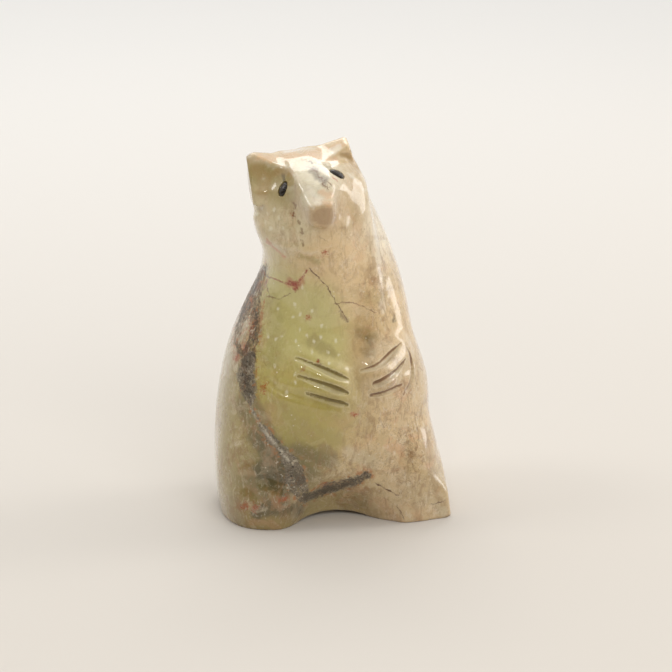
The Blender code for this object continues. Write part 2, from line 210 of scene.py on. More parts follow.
def carving(p):
    """The whole carving without its cuts: below zero inside the stone, above zero outside."""
    f = torso(p)
    # haunches, the right foot and the left foot
    f = smooth_min(f, ellipsoid(p, (-24.8, -5, 14), (14.8, 14, 26)), 6)
    f = smooth_min(f, ellipsoid(p, (-27.2, -10, 8.5), (12.4, 12, 14.5)), 3)
    f = smooth_min(f, ellipsoid(p, (20, -9, 10), (12, 17, 24)), 6)
    f = smooth_min(f, faceted([
        face(p, (33.6, 0, 0), (1, 0, 0.12)),
        face(p, (26, -25.2, 0), (-0.05, -1, 0.22)),
        face(p, (24, 0, 22), (0.50, -0.35, 1)),
        face(p, (12, 0, 0), (-1, -0.2, 0.2)),
        face(p, (0, 16, 0), (0.3, 1, 0.3)),
    ], 2.5), 6)
    # belly
    f = smooth_min(f, ellipsoid(p, (-3, -9, 40), (25, 17, 24)), 8)
    # shoulder and back, up to the ear
    f = smooth_min(f, ellipsoid(p, (5.6, 9, 74), (16.8, 15, 33), (0, -10, 0)), 8)
    f = smooth_min(f, capsule(p, (1.0, 3, 113), (7.5, 6, 88), 7.0, 8.5), 6)
    # neck and throat
    f = smooth_min(f, ellipsoid(p, (-7.5, -3, 92), (15.5, 17, 24)), 5)
    f = smooth_min(f, capsule(p, (-10.5, 1, 107), (-5, 6, 84), 13.0, 14.0), 8)
    f = smooth_min(f, ellipsoid(p, (-12.5, -1, 100), (14.4, 14, 15)), 3)
    f = smooth_min(f, capsule(p, (-10, -10.5, 98), (-7, -5, 76), 10.8, 14), 5)
    # the soft edge down the left side of the throat
    f = smooth_min(f, capsule(p, (3.0, -6.0, 110), (7.0, -13.0, 66), 5.0, 2.5), 6)
    f = smooth_min(f, head(p), 2.0)
    # forearms
    f = smooth_min(f, capsule(p, (-23.5, -7.8, 57.0), (-7, -21.2, 49.6), 8.2, 7.2), 2.0)
    f = smooth_min(f, capsule(p, (14, -13, 56), (7.5, -20.8, 51), 7.0, 7), 2.5)
    # hollow between the legs
    f = smooth_max(f, -ellipsoid(p, (-6.0, -38, -6), (21.5, 26, 27)), 4)
    # the arch under the belly, and the flat base
    f = smooth_max(f, -ellipsoid(p, (-5, -13, -5.9), (22, 16, 7.5)), 0.6)
    return smooth_max(f, -p[:, 2], 0.25)


def slope_of(field, p, step=0.05):
    g = np.empty_like(p)
    for axis in range(3):
        d = np.zeros(3)
        d[axis] = step
        g[:, axis] = (field(p + d) - field(p - d)) / (2 * step)
    return g


# How the photograph sees the stone

a, e = math.radians(AZIMUTH), math.radians(ELEVATION)
BACK = np.array((math.sin(a) * math.cos(e), -math.cos(a) * math.cos(e), math.sin(e)))
RIGHT = np.array((math.cos(a), math.sin(a), 0.0))
UP = np.cross(BACK, RIGHT)
EYE_POINT = (np.array(TARGET) + BACK * DISTANCE) * 1000 + MIDDLE
FOCAL = PIXELS * LENS / SENSOR


def seen_at(p):
    """Where points of the layout show in the photograph, in its pixels."""
    v = p - EYE_POINT
    away = -(v @ BACK)
    return np.stack([PIXELS / 2 + FOCAL * (v @ RIGHT) / away, PIXELS / 2 - FOCAL * (v @ UP) / away], axis=1)


# The eyes, as the frame has them

class Oval:
    """The middle, axes and half sizes of an eye, read from its node, in the layout."""

    def __init__(self, node):
        flat = np.empty(len(node.data.vertices) * 3, np.float32)
        node.data.vertices.foreach_get("co", flat)
        p = flat.reshape(-1, 3).astype(float) * 1000 + MIDDLE
        self.centre = (p.max(0) + p.min(0)) / 2
        _, axes = np.linalg.eigh(np.cov((p - self.centre).T))
        out = axes[:, 0] if axes[:, 0] @ BACK > 0 else -axes[:, 0]
        long = axes[:, 2]
        self.axes = np.stack([np.cross(long, out), long, out])
        self.half = np.abs((p - self.centre) @ self.axes.T).max(0)

    def field(self, p, more):
        return oval_field((p - self.centre) @ self.axes.T, self.half + more)


EYES = [Oval(nodes[name]) for name in EYE_NODES]


def front(x, z):
    """The front of the stone at a place seen from the front."""
    y = np.arange(*FRONT_SEARCH)
    f = carving(np.stack([np.full_like(y, x), y, np.full_like(y, z)], axis=1))
    return np.array((x, y[np.argmax(f < 0)], z))


def stroke_points(stroke):
    """The middles of a cut on the front of the stone, with its radius at each."""
    x, z, r = (np.array(column) for column in zip(*stroke))
    at = np.arange(len(x), dtype=float)
    t = np.linspace(0, len(x) - 1, CUT_STEPS * len(x))
    end = np.clip((len(x) - 1 - t) / CUT_TAPER, 0.0, 1.0)
    radius = CUT_WIDTH * (CUT_TIP + (1 - CUT_TIP) * end) * smooth_table(t, at, r)
    middle = np.array([front(*place) for place in zip(smooth_table(t, at, x), smooth_table(t, at, z))])
    middle[:, 1] += CUT_SINK * radius
    return np.column_stack([middle, radius])


STROKES = [stroke_points(stroke) for stroke in CLAW_CUTS]


def claw_field(p):
    """Distance to the nearest claw cut, below zero inside it."""
    best = np.full(len(p), NO_CUT)
    near = np.where((p[:, 1] < CUTS_BACK) & (p[:, 2] > CUTS_LOW) & (p[:, 2] < CUTS_HIGH))[0]
    if len(near) == 0:
        return best
    q = p[near]
    for points in STROKES:
        for start, end in zip(points[:-1], points[1:]):
            best[near] = np.minimum(best[near], capsule(q, start[:3], end[:3], start[3], end[3]))
    return best


def stone(p):
    """The carving with its cuts and sockets."""
    f = carving(p)
    f = smooth_max(f, -claw_field(p), 0.25)
    for oval in EYES:
        f = smooth_max(f, -oval.field(p, GAP), 0.12)
    return f


def fine_mesh():
    """The solid's mesh, made fine and drawn onto the carving."""
    mesh = nodes["bear_body"].data.copy()
    mesh.transform(Matrix.Translation(MIDDLE) @ Matrix.Scale(1000, 4))
    obj = bpy.data.objects.new("soapstone", mesh)
    bpy.context.scene.collection.objects.link(obj)
    remesh = obj.modifiers.new("fine", "REMESH")
    remesh.mode = "VOXEL"
    remesh.voxel_size = VOXEL
    bpy.context.view_layer.update()
    mesh = bpy.data.meshes.new_from_object(obj.evaluated_get(bpy.context.evaluated_depsgraph_get()))
    obj.modifiers.clear()
    obj.data = mesh
    mesh.name = "soapstone"
    # finer faces round the eyes
    bm = bmesh.new()
    bm.from_mesh(mesh)
    for reach in EYE_REACHES:
        chosen = []
        for oval in EYES:
            c = Vector(oval.centre)
            chosen += [edge for edge in bm.edges if (edge.verts[0].co - c).length < reach
                       and (edge.verts[1].co - c).length < reach]
        bmesh.ops.subdivide_edges(bm, edges=list(set(chosen)), cuts=1, use_grid_fill=True)
    bm.to_mesh(mesh)
    bm.free()
    flat = np.empty(len(mesh.vertices) * 3, np.float32)
    mesh.vertices.foreach_get("co", flat)
    p = flat.reshape(-1, 3).astype(float)
    ends = np.empty(len(mesh.edges) * 2, np.int32)
    mesh.edges.foreach_get("vertices", ends)
    ends = ends.reshape(-1, 2)
    count = np.bincount(ends.ravel(), minlength=len(p))[:, None]
    for step in range(SETTLING):
        mean = np.zeros_like(p)
        for axis in range(3):
            mean[:, axis] = (np.bincount(ends[:, 0], p[ends[:, 1], axis], len(p))
                             + np.bincount(ends[:, 1], p[ends[:, 0], axis], len(p)))
        g = slope_of(stone, p)
        steep = np.maximum(np.linalg.norm(g, axis=1, keepdims=True), 1e-6)
        n = g / steep
        drift = (mean / count - p) * (0.5 if step < SETTLING - 1 else 0.0)
        p = p + drift - n * (drift * n).sum(1, keepdims=True)
        p = p - n * np.clip(stone(p)[:, None] / np.maximum(steep, 0.4), -0.8, 0.8)
    return obj, mesh, p


stone_obj, stone_mesh, points = fine_mesh()
out_of = slope_of(carving, points, 0.2)
out_of /= np.maximum(np.linalg.norm(out_of, axis=1, keepdims=True), 1e-6)
shown = seen_at(points)
facing = out_of @ BACK

# Where the stone's marks show, in pixels of the photograph

RED_LINES = (
    ((269, 277), (275, 279), (281, 282), (290, 284), (297, 283), (303, 277), (307, 270)),
    ((296, 283), (297, 288), (295, 292)),
    ((289, 281), (300, 282)),
    ((291, 285), (299, 285.5)),
    ((293, 289), (298, 289)),
)
CRACKS = (
    ((311, 270), (317, 276), (327, 287), (336, 303), (341, 310), (347, 320)),
    ((398, 507), (403, 517)),
    ((377, 484), (391, 492), (397, 495)),
    ((433, 504), (443, 501)),
    ((261, 268), (264, 274), (270, 278)),
)
FINE_CRACKS = (
    ((311, 168), (317, 172), (319, 177), (326, 180), (331, 185)),
    ((322, 178), (323, 184), (327, 188)),
    ((336, 304), (346, 302), (354, 303), (363, 306), (374, 312)),
    ((268, 297), (280, 299), (289, 294)),
    ((320, 237), (326, 241)),
    ((268, 273), (266, 284), (270, 297)),
)
CREASE = (
    ((294, 203), (295, 208)),
    ((293, 213), (294, 217)),
    ((298, 221), (300, 224)),
    ((301, 229), (302, 233)),
    ((301, 241), (303, 245)),
)
# veins, with their half width
BROWN_VEIN = (
    ((266, 264, 1), (262, 276, 4), (254, 294, 6), (246, 310, 5), (240, 326, 3), (236, 344, 2)),
    ((258, 292, 2), (257, 308, 4), (255, 324, 5), (254, 338, 4), (249, 352, 6), (249, 366, 6)),
    ((238, 346, 3), (243, 358, 4), (247, 372, 5), (243, 388, 3)),
)
GREY_VEIN = (
    ((250, 356, 4), (245, 374, 8), (249, 390, 7), (251, 406, 1.5), (258, 420, 1.5), (268, 436, 3),
     (281, 449, 3.5), (292, 464, 7), (297, 482, 10), (302, 496, 7)),
    ((300, 500, 2), (318, 493, 3.5), (334, 487, 4), (350, 482, 5), (367, 474, 3)),
)
# the whitish middle of the grey vein, and its dark arm
PALE = (
    ((250, 408), (256, 420), (266, 433), (278, 447), (288, 460)),
)
COAL = (
    ((306, 496), (320, 492), (334, 487), (350, 482), (367, 475)),
    ((246, 376), (250, 392), (246, 384)),
)
# rust patches: x, y, reach across, reach down
RUST = (
    (264, 388, 7, 9), (252, 330, 5, 16), (246, 350, 6, 10), (244, 507, 8, 7), (254, 508, 6, 8),
    (283, 499, 9, 6), (325, 484, 7, 4), (308, 318, 4, 5), (318, 362, 3, 3), (303, 370, 3, 2),
    (355, 415, 5, 3), (236, 357, 5, 6), (296, 285, 7, 6), (325, 253, 8, 4), (293, 215, 4, 4),
)
# pale flecks, taller than they are wide
FLECKS = (
    (262, 208), (268, 214), (274, 209), (266, 222), (279, 218), (258, 214), (283, 228), (271, 229),
    (278, 309), (295, 305), (300, 314), (293, 317), (312, 311), (302, 287), (282, 336), (276, 339),
    (296, 341), (307, 336), (321, 337), (314, 342), (336, 341), (328, 353), (339, 355), (329, 364),
    (275, 366), (295, 374), (295, 382), (286, 393), (268, 336), (312, 352), (322, 326), (300, 330),
)
FLECK_TALL = 1.54
# the nose, painted tan as shade on its front that faces down: x, y, half width, half height
NOSE = (325, 216.5, 13.0, 9.2)

# Low relief: lines, reach in pixels and height in millimetres
RELIEF = (
    (((295, 206), (293, 215), (298, 222), (301, 231), (302, 243)), 4, -0.15),
    (((312, 230), (325, 233), (337, 229)), 4, -0.35),
    (((256, 217), (262, 231), (270, 240), (287, 248), (314, 252)), 5, 0.8),
    (((268, 236), (284, 257)), 5, -0.25),
    (((268, 478), (280, 482)), 9, -1.3),
    (((240, 474), (256, 470)), 8, 0.5),
    (((247, 488), (262, 500)), 8, -0.5),
    (((264, 362), (266, 378), (277, 390), (300, 397), (326, 405)), 5, -0.5),
    (((266, 388), (282, 398), (308, 405), (340, 413)), 4, 0.3),
    (((300, 352), (345, 371)), 5, 0.45),
    (((300, 368), (346, 386)), 4, 0.45),
    (((304, 387), (346, 399)), 4, 0.45),
    (((366, 361), (384, 352), (398, 340)), 5, 0.3),
    (((378, 376), (392, 368), (405, 356)), 5, 0.4),
    (((376, 389), (392, 383), (406, 376)), 4, 0.35),
    (((413, 350), (417, 366), (417, 380)), 5, 0.15),
    (((349, 171), (358, 180), (366, 192)), 7, 0.15),
    (((343, 154), (350, 158)), 5, -0.6),
    (((372, 200), (377, 240), (381, 290)), 6, 0.3),
)

# The colours of the stone
STONE = {
    "ivory": (235, 225, 205), "milk": (226, 213, 190), "cream": (209, 195, 167), "ash": (194, 184, 160),
    "silver": (170, 162, 146), "shell": (218, 180, 142), "honey": (203, 180, 143),
    "apricot": (206, 168, 120), "sand": (192, 166, 126), "tan": (181, 158, 123), "bone": (189, 174, 141),
    "moss": (174, 164, 108), "leaf": (166, 152, 90), "olive": (152, 138, 70), "ochre": (149, 133, 88),
    "bronze": (142, 122, 76), "fawn": (173, 143, 97), "clay": (164, 136, 100), "caramel": (158, 127, 82),
    "umber": (130, 109, 78), "sage": (158, 145, 111), "slate": (130, 120, 103), "dark_olive": (103, 93, 60),
    "hollow": (79, 72, 46), "night": (57, 45, 30), "rust": (183, 112, 60), "brick": (181, 105, 76),
    "cinnamon": (152, 92, 52), "vermilion": (186, 84, 58), "coral": (202, 138, 116),
    "walnut": (110, 62, 34),
}

# Broad areas of colour: x, y, reach across, reach down, colour
AREAS = (
    (320, 178, 16, 16, "ash"), (305, 155, 34, 7, "tan"), (272, 184, 18, 16, "ochre"),
    # the clay area at the nose is painted shade on its front
    (262, 212, 14, 16, "bone"), (285, 235, 18, 16, "bone"), (325, 216, 10, 8, "clay"),
    (350, 205, 16, 26, "tan"), (345, 152, 12, 8, "honey"), (375, 215, 10, 30, "cream"),
    (325, 262, 26, 14, "sand"), (360, 290, 18, 36, "sand"), (286, 318, 28, 36, "moss"),
    (318, 330, 24, 26, "moss"), (305, 425, 44, 26, "olive"), (312, 385, 34, 22, "leaf"),
    (385, 330, 16, 34, "sand"), (366, 340, 10, 16, "caramel"), (385, 380, 26, 26, "tan"),
    (380, 440, 36, 30, "sand"), (420, 470, 22, 34, "tan"), (385, 500, 44, 18, "tan"),
    (226, 372, 12, 40, "sage"), (242, 298, 12, 24, "umber"), (236, 435, 22, 34, "ochre"),
    # the hollow area by the left haunch and the dark olive one below it are painted shade between the legs
    (250, 512, 30, 16, "bronze"), (222, 480, 8, 34, "sage"), (282, 470, 26, 22, "hollow"),
    (268, 496, 18, 16, "dark_olive"), (330, 500, 34, 14, "ochre"),
)

# Marks painted over the areas: line, half width, how soft its edge is, colour, strength
PAINT = (
    # the crown, the rim of the scooped cheek, the brow and the forehead, with painted highlights on the rims
    (((258, 158), (275, 158.5), (292, 156), (312, 153), (330, 148), (342, 143)), 3, 3, "apricot", 0.75),
    (((304, 157), (322, 158), (334, 161)), 3, 3, "shell", 0.7),
    # painted highlights: pale lines along the rim of the scooped cheek and down the left edge of the brow and
    # muzzle
    (((249, 157), (258, 160), (268, 163), (273, 167), (291, 166.5)), 1.6, 3.0, "ivory", 0.3),
    (((291, 166), (292, 174), (301, 179), (304, 190), (307, 200), (313, 208)), 1.6, 2.5, "ivory", 0.45),
    (((300, 160), (312, 162), (322, 165), (331, 169)), 0.7, 1.0, "bronze", 0.7),
    (((310, 161.5), (314, 162.5)), 1.0, 1.0, "hollow", 0.8),
    (((313, 170), (318, 177), (326, 180)), 3.5, 4, "slate", 0.8),
    (((321, 184), (325, 186)), 1.5, 1.5, "umber", 0.7),
    (((305, 165), (309, 166)), 1.4, 2, "silver", 0.5),
    (((333, 177), (336, 181)), 1.0, 1.2, "brick", 0.75),
    (((322, 192), (330, 196)), 3, 3, "shell", 0.6),
    # pale stone on the top of the muzzle, partly a painted reflection of the light above
    (((310, 190), (318, 200)), 4, 4, "ivory", 0.6),
    (((325, 202), (330, 204)), 3, 3, "shell", 0.5),
    # ears, and the ridge behind the left eye, with painted highlights on the left ear and along the ridge
    # painted highlight on the inner face of the left ear
    (((338, 148), (333, 152)), 4, 3, "ivory", 0.7),
    (((343, 155), (350, 156)), 3, 2, "fawn", 0.75),
    (((351, 150), (353, 153)), 1.0, 1.0, "night", 0.8),
    # painted highlight along the ridge behind the left eye
    (((349, 172), (358, 181), (366, 192)), 1.2, 2, "ivory", 0.6),
    (((352, 160), (358, 172)), 3, 3, "fawn", 0.6),
    (((247.5, 155.5), (249, 158)), 1.2, 1.2, "dark_olive", 0.7),
    # round the right eye and down the scooped cheek
    (((282, 176), (285, 181)), 1.4, 1.4, "hollow", 0.7),
    (((256, 170), (268, 178), (262, 192)), 6, 6, "fawn", 0.5),
    (((276, 172), (290, 172)), 4, 3, "fawn", 0.6),
    (((296, 183), (295, 192), (296, 202)), 0.8, 1.2, "clay", 0.6),
    (((297, 190), (300, 204), (303, 214)), 3, 3, "honey", 0.6),
    # jaw and neck, with painted highlights along the jaw and down the throat's edge, and painted shade under
    # the chin
    # painted highlight along the jaw's ridge
    (((256, 218), (262, 230), (270, 240), (285, 248), (303, 251), (318, 253)), 1.6, 4.0, "milk", 0.35),
    (((269, 241), (277, 249), (285, 257)), 1.3, 1.5, "coral", 0.75),
    # painted shade under the chin
    (((302, 257), (318, 261)), 3, 3, "leaf", 0.65),
    (((340, 226), (346, 228)), 1.5, 2, "clay", 0.6),
    # painted highlight down the throat's edge
    (((372, 202), (376, 240), (380, 282), (383, 312)), 2.4, 4, "milk", 0.6),
    (((366, 214), (372, 250), (374, 290)), 2, 3, "tan", 0.4),
    # the red patch's dark heart, and the brown piece in the crack
    (((290, 282), (297, 287), (301, 281)), 3.6, 3.0, "brick", 0.6),
    (((340, 312), (347, 320)), 1.4, 1.6, "umber", 0.75),
    # chest and belly
    (((360, 332), (372, 338), (368, 352)), 6, 6, "bronze", 0.6),
    (((369, 336), (371, 344)), 2, 3, "dark_olive", 0.6),
    (((393.5, 315), (394, 321)), 1.0, 1.2, "hollow", 0.7),
    (((317, 360), (320, 364)), 1.2, 1.2, "walnut", 0.8),
    (((302, 371), (305, 369)), 1.0, 1.2, "cinnamon", 0.7),
    (((352, 414), (359, 416)), 1.3, 1.5, "vermilion", 0.75),
    (((272, 300), (276, 330), (272, 362)), 8, 8, "moss", 0.5),
    (((276, 410), (300, 432), (334, 440)), 10, 9, "leaf", 0.6),
    (((312, 340), (330, 352)), 6, 6, "ochre", 0.45),
    # the left flank, dark above and pale below
    (((262, 270), (256, 284), (250, 296), (244, 310)), 4, 3, "night", 0.9),
    (((256, 312), (255, 324), (254, 340)), 3.2, 3, "night", 0.85),
    (((248, 314), (246, 334)), 1.8, 2, "cream", 0.8),
    (((260, 282), (257, 290)), 2, 2, "cinnamon", 0.8),
    (((252, 293), (251, 308)), 1.2, 1.5, "rust", 0.85),
    (((259, 316), (260, 336)), 1.0, 1.5, "rust", 0.7),
    (((243, 346), (246, 356)), 2.5, 2, "rust", 0.8),
    (((235, 352), (238, 362)), 1.5, 2, "cinnamon", 0.7),
    (((242, 300), (234, 322), (229, 340)), 1.2, 1.5, "cream", 0.6),
    (((246, 364), (250, 374), (248, 388)), 6, 4, "dark_olive", 0.7),
    (((262, 268), (250, 290), (240, 312), (234, 326)), 4, 4, "hollow", 0.8),
    (((238, 318), (229, 346), (225, 372)), 4, 4, "ash", 0.6),
    (((230, 334), (238, 344)), 1.2, 1.5, "dark_olive", 0.5),
    (((215, 426), (220, 424)), 1.0, 1.2, "dark_olive", 0.7),
    # the haunch with painted shade in its hollow and low between the legs, the foot
    (((248, 404), (258, 426), (274, 452)), 12, 10, "dark_olive", 0.65),
    # painted shade in the hollow beside the left haunch, in this mark and the two after it
    (((268, 446), (276, 462), (284, 478)), 11, 9, "hollow", 0.6),
    (((262, 470), (272, 480), (284, 488)), 9, 8, "hollow", 0.8),
    (((256, 438), (272, 456)), 8, 8, "dark_olive", 0.7),
    # darker olive under the belly, partly the stone's own and partly painted shade
    (((298, 450), (316, 456), (332, 462)), 7, 8, "dark_olive", 0.6),
    (((322, 446), (334, 454)), 4, 4, "umber", 0.5),
    (((268, 492), (264, 504), (256, 514)), 1.0, 1.5, "hollow", 0.6),
    (((232, 500), (238, 520)), 6, 6, "sage", 0.5),
    # painted shade low between the legs, at the base
    (((258, 512), (272, 508), (296, 508)), 7, 7, "hollow", 0.75),
    (((240, 472), (254, 474)), 3, 3, "tan", 0.5),
    # right flank and foot: brown wisps and paler clouds
    (((390, 400), (404, 430), (412, 462)), 5, 6, "honey", 0.5),
    (((425, 430), (432, 470), (438, 500)), 4, 5, "clay", 0.5),
    (((350, 452), (372, 462)), 7, 6, "cream", 0.5),
    (((400, 470), (414, 490)), 6, 6, "honey", 0.5),
    (((340, 500), (362, 502)), 7, 5, "bronze", 0.5),
    (((436, 508), (444, 512)), 4, 3, "cream", 0.5),
)
# How cloudy and streaked the stone is: x, y, reach across, reach down, strength
CLOUDY = ((410, 440, 40, 70, 1.0), (350, 480, 50, 24, 0.9), (240, 440, 26, 80, 0.8), (250, 505, 40, 22, 0.9),
          (385, 280, 22, 60, 0.7), (240, 340, 18, 60, 0.9), (345, 250, 26, 40, 0.5), (290, 235, 20, 24, 0.4))
CLOUDY_BEHIND = 0.4

# Waves that keep painted edges uneven: turns along each axis, in radians for each mm, and size in pixels
WAVES_ACROSS = (
    ((0.9, 0.5, 0.7), 0.9), ((-1.3, 0.6, 1.1), 0.7), ((1.9, -2.3, 1.7), 0.5), ((2.9, 3.1, -3.7), 0.35),
)
WAVES_DOWN = (
    ((0.6, -0.9, 0.8), 0.9), ((1.2, 0.9, -1.0), 0.7), ((-2.1, 2.0, 1.5), 0.5), ((3.3, -2.7, 3.5), 0.35),
)

FADE_FROM, FADE_OVER = -0.02, 0.12        # how far the stone turns away before the marks in view end
OUT_OF_SIGHT = 30.0                       # pixels that a mark moves off where the stone faces away
NOWHERE = 99.0                            # pixels, farther than any mark
AREA_FALL = 0.8                           # how fast an area gives way to the next
LEAST_WEIGHT = 1e-4                       # of the plain tan where no area reaches
BRIGHTER = (1.30, 1.32, 1.32)             # the stone itself is paler than it shows in this light


def linear(colour):
    c = np.array(colour, float) / 255
    return np.where(c <= 0.04045, c / 12.92, ((c + 0.055) / 1.055) ** 2.4)


def beside(at, start, end):
    """A place's share of the way along a line, its offset from there, and the line's run."""
    start, end = np.array(start, float), np.array(end, float)
    run = end - start
    along = np.clip((at - start) @ run / (run @ run), 0, 1)
    return along, at - start - along[:, None] * run, run


def lines_near(lines, at):
    """Distance in pixels to the nearest of some lines, and the same with a sign for its side."""
    best = np.full(len(at), NOWHERE)
    side = np.full(len(at), NOWHERE)
    for line in lines:
        for start, end in zip(line[:-1], line[1:]):
            _, off, run = beside(at, start, end)
            d = np.linalg.norm(off, axis=1)
            closer = d < best
            best[closer] = d[closer]
            side[closer] = (np.sign(run[0] * off[:, 1] - run[1] * off[:, 0]) * d)[closer]
    return best, side


def veins_near(veins):
    """Distance in pixels from the edge of the nearest vein, below zero inside it."""
    best = np.full(len(shown), NOWHERE)
    for vein in veins:
        for start, end in zip(vein[:-1], vein[1:]):
            along, off, _ = beside(shown, start[:2], end[:2])
            half_width = start[2] + along * (end[2] - start[2])
            best = np.minimum(best, np.linalg.norm(off, axis=1) - half_width)
    return best


def patch_near(x, y, wide, tall):
    """Distance from the middle of an oval patch, where 1 is its edge."""
    return np.hypot((shown[:, 0] - x) / wide, (shown[:, 1] - y) / tall)


def put_float(name, values):
    data = stone_mesh.attributes.new(name, "FLOAT", "POINT").data
    data.foreach_set("value", np.asarray(values, np.float32))


def put_colour(name, values):
    four = np.ones((len(values), 4), np.float32)
    four[:, :3] = values
    stone_mesh.attributes.new(name, "FLOAT_COLOR", "POINT").data.foreach_set("color", four.ravel())


def relief():
    """How far each point stands proud of the carving, in millimetres."""
    lift = np.zeros(len(points))
    for line, reach, height in RELIEF:
        near, _ = lines_near((line,), shown)
        lift += height * np.exp(-(near / reach) ** 2) * front_side
    return lift


def unrest(waves, first_phase):
    """A sum of waves over the stone, in pixels, that keeps the edges of painted marks uneven."""
    return sum(np.sin(points @ np.array(turns) + phase) * size
               for phase, (turns, size) in enumerate(waves, first_phase))


def base_colour():
    weight = np.full(len(points), LEAST_WEIGHT)
    colour = weight[:, None] * linear(STONE["tan"])
    for x, y, wide, tall, shade in AREAS:
        w = np.exp(-AREA_FALL * patch_near(x, y, wide, tall) ** 2)
        weight += w
        colour += w[:, None] * linear(STONE[shade])
    colour *= np.array(BRIGHTER) / weight[:, None]
    ragged = shown + np.stack([unrest(WAVES_ACROSS, 0), unrest(WAVES_DOWN, 2)], axis=1)
    for line, wide, soft, shade, strength in PAINT:
        near, _ = lines_near((line,), ragged)
        cover = np.clip(1 - (near - wide + soft / 2) / soft, 0, 1)
        cover = (cover * cover * (3 - 2 * cover) * strength * front_side)[:, None]
        colour = colour * (1 - cover) + linear(STONE[shade]) * cover
    return colour


def cloudiness():
    cloudy = np.zeros(len(points))
    for x, y, wide, tall, strength in CLOUDY:
        cloudy = np.maximum(cloudy, strength * np.exp(-0.5 * patch_near(x, y, wide, tall) ** 2))
    return cloudy * front_side + CLOUDY_BEHIND * (1 - front_side)


front_side = np.clip((facing - FADE_FROM) / FADE_OVER, 0, 1)
hidden = OUT_OF_SIGHT * (1 - front_side)
points += out_of * relief()[:, None]

put_colour("base_colour", base_colour())
put_float("cloudy", cloudiness())
put_float("nose", patch_near(*NOSE) + hidden)
for name, lines in (("crack", CRACKS), ("thin", FINE_CRACKS)):
    near, side = lines_near(lines, shown)
    put_float(name, near + hidden)
    put_float(name + "_side", side)
for name, lines in (("red", RED_LINES), ("crease", CREASE), ("pale", PALE), ("coal", COAL)):
    near, _ = lines_near(lines, shown)
    put_float(name, near + hidden)
put_float("brown", veins_near(BROWN_VEIN) + hidden)
put_float("grey", veins_near(GREY_VEIN) + hidden)
put_float("rust", np.min([patch_near(*patch) for patch in RUST], axis=0) + hidden)
put_float("fleck", np.min([patch_near(x, y, 1.0, FLECK_TALL) for x, y in FLECKS], axis=0) + hidden)
put_float("cut", claw_field(points))
put_float("behind", 1 - front_side)

final = (points - MIDDLE) / 1000
stone_mesh.vertices.foreach_set("co", final.astype(np.float32).ravel())
stone_mesh.update()
stone_mesh.shade_smooth()
print("soapstone", len(stone_mesh.vertices), sum(len(p.vertices) - 2 for p in stone_mesh.polygons))


# Materials

class Shader:
    """Short ways to write a material's nodes."""

    def __init__(self, name):
        self.mat = bpy.data.materials.new(name)
        self.mat.use_nodes = True
        self.tree = self.mat.node_tree
        self.bsdf = self.tree.nodes["Principled BSDF"]

    def join(self, value, socket):
        if isinstance(value, bpy.types.NodeSocket):
            self.tree.links.new(value, socket)
        else:
            socket.default_value = value

    def surface(self, name, value):
        """Sets one of the surface's own values, or joins a node to it."""
        self.join(value, self.bsdf.inputs[name])

    def node(self, kind, inputs=(), out=0, **settings):
        made = self.tree.nodes.new(kind)
        for key, value in settings.items():
            setattr(made, key, value)
        for key, value in dict(inputs).items():
            self.join(value, made.inputs[key])
        return made.outputs[out]

    def maths(self, op, a, b=0.0, c=0.0):
        return self.node("ShaderNodeMath", {0: a, 1: b, 2: c}, operation=op)

    def plus(self, a, b):
        return self.maths("ADD", a, b)

    def times(self, a, b):
        return self.maths("MULTIPLY", a, b)

    def centred(self, noise, size=1.0):
        """A noise as a swing of that size about zero."""
        return self.times(self.maths("SUBTRACT", noise, 0.5), size)

    def attribute(self, name, out="Fac"):
        return self.node("ShaderNodeAttribute", attribute_name=name, out=out)

    def step(self, value, low, high, to_low=0.0, to_high=1.0):
        """From to_low to to_high as value goes from low to high, softly."""
        return self.node("ShaderNodeMapRange", {"Value": value, "From Min": low, "From Max": high,
                                                "To Min": to_low, "To Max": to_high},
                         interpolation_type="SMOOTHSTEP")

    def noise(self, at, scale, detail=4.0, rough=0.55, twist=0.0):
        return self.node("ShaderNodeTexNoise", {"Vector": at, "Scale": scale, "Detail": detail,
                                                "Roughness": rough, "Distortion": twist}, out="Fac")

    def cells(self, at, scale):
        return self.node("ShaderNodeTexVoronoi", {"Vector": at, "Scale": scale, "Randomness": 1.0},
                         out="Distance")

    def mix(self, how_much, a, b):
        made = self.tree.nodes.new("ShaderNodeMix")
        made.data_type = "RGBA"
        made.clamp_factor = True
        self.join(how_much, made.inputs["Factor"])
        for value, socket in ((a, made.inputs[6]), (b, made.inputs[7])):
            if not isinstance(value, bpy.types.NodeSocket):
                value = (*linear(value), 1.0)
            self.join(value, socket)
        return made.outputs[2]

    def place(self):
        """The point on the object, in millimetres."""
        at = self.node("ShaderNodeTexCoord", out="Object")
        return self.node("ShaderNodeVectorMath", {0: at, "Scale": 1000.0}, operation="SCALE")

    def axis(self, vector, name):
        return self.node("ShaderNodeSeparateXYZ", {0: vector}, out=name)

    def bump(self, height, distance, strength):
        self.surface("Normal", self.node("ShaderNodeBump", {"Height": height, "Distance": distance,
                                                            "Strength": strength}))


